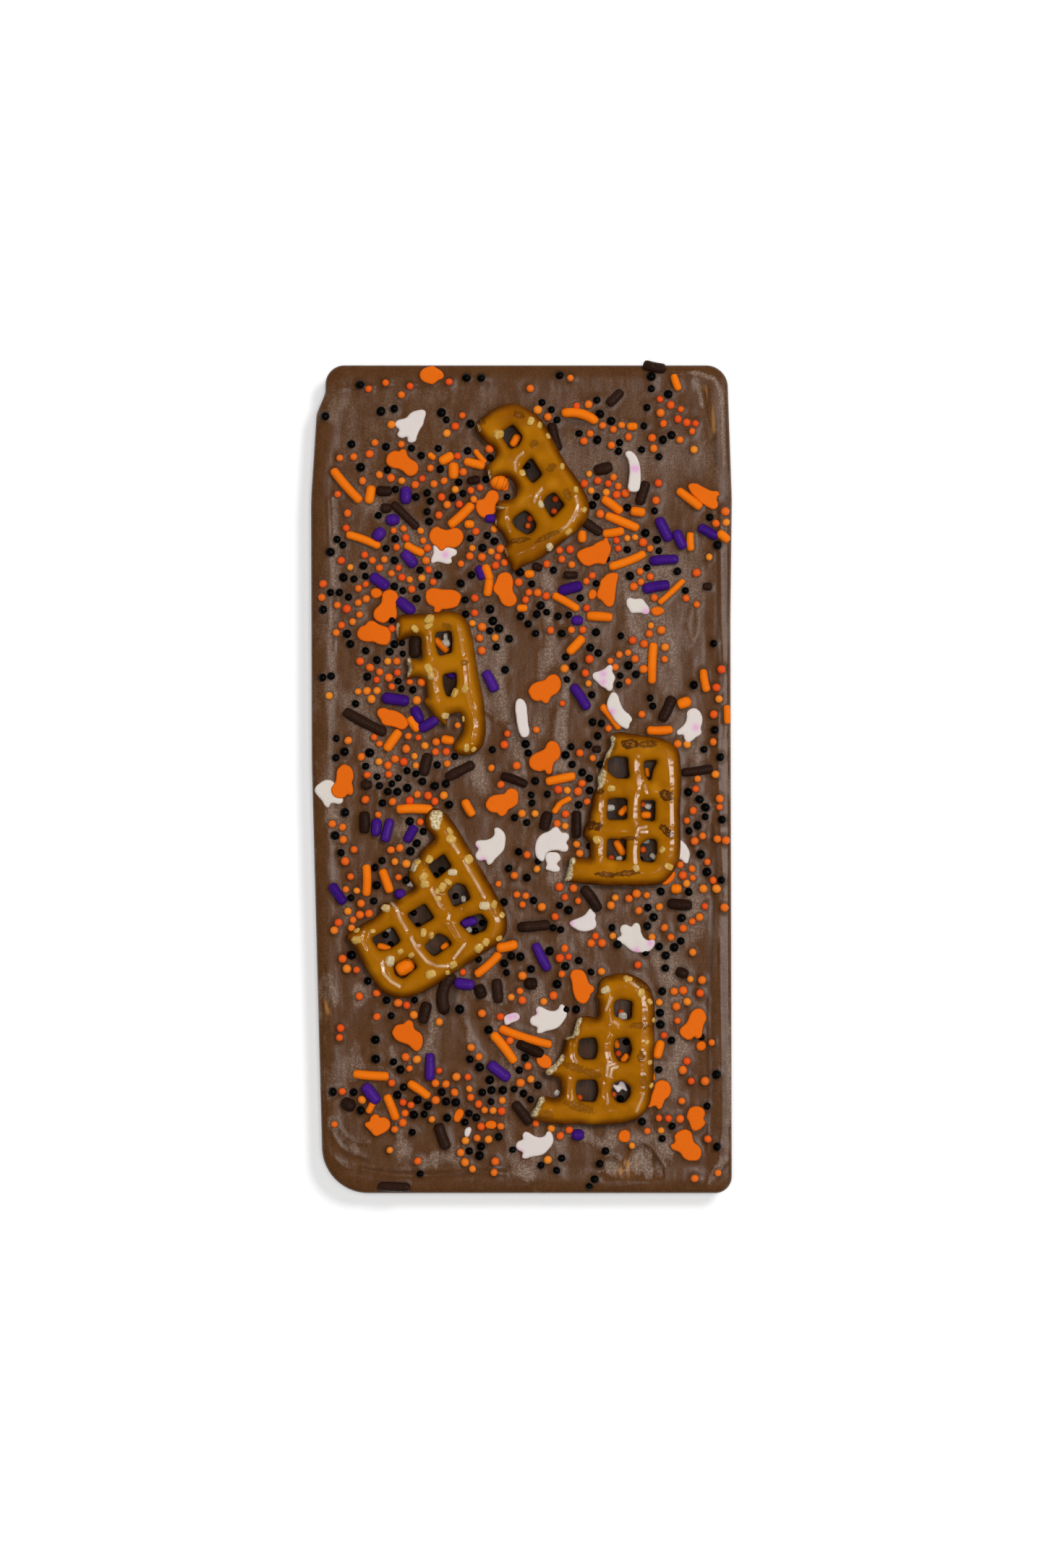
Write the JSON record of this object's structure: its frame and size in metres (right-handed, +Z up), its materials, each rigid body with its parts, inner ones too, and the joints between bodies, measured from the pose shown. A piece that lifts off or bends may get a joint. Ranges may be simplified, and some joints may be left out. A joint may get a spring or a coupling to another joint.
{
  "type": "chocolate pretzel bark",
  "caption": "Moulded bar of milk chocolate, poured side up, with broken waffle pretzels pressed in and sugar sprinkles set in its face.",
  "frame": {"origin": "centre of the bounding box at its base, on the flat underside", "axes": "+Y along the bar's long side towards the top of the picture, +X to the picture's right, +Z up out of the poured face"},
  "size_m": [0.0814, 0.1614, 0.0107],
  "materials": {
    "chocolate": "satin set milk chocolate with grey-pink sheen and pour marks",
    "pretzel": "glossy golden-brown baked glaze, pale crumb where broken",
    "orange_sugar": "matte orange sugar",
    "black_sugar": "black sugar with a dull shine",
    "purple_sugar": "deep purple sugar",
    "brown_sugar": "dark brown sugar",
    "white_sugar": "white pressed sugar with a pink blush",
    "salt": "clear to white salt crystals"
  },
  "bodies": {
    "root": {"chocolate_bar": "chocolate", "pretzel_top": "pretzel", "pretzel_left": "pretzel", "pretzel_right": "pretzel", "pretzel_lower_left": "pretzel", "pretzel_lower_right": "pretzel"}
  },
  "joints": []
}
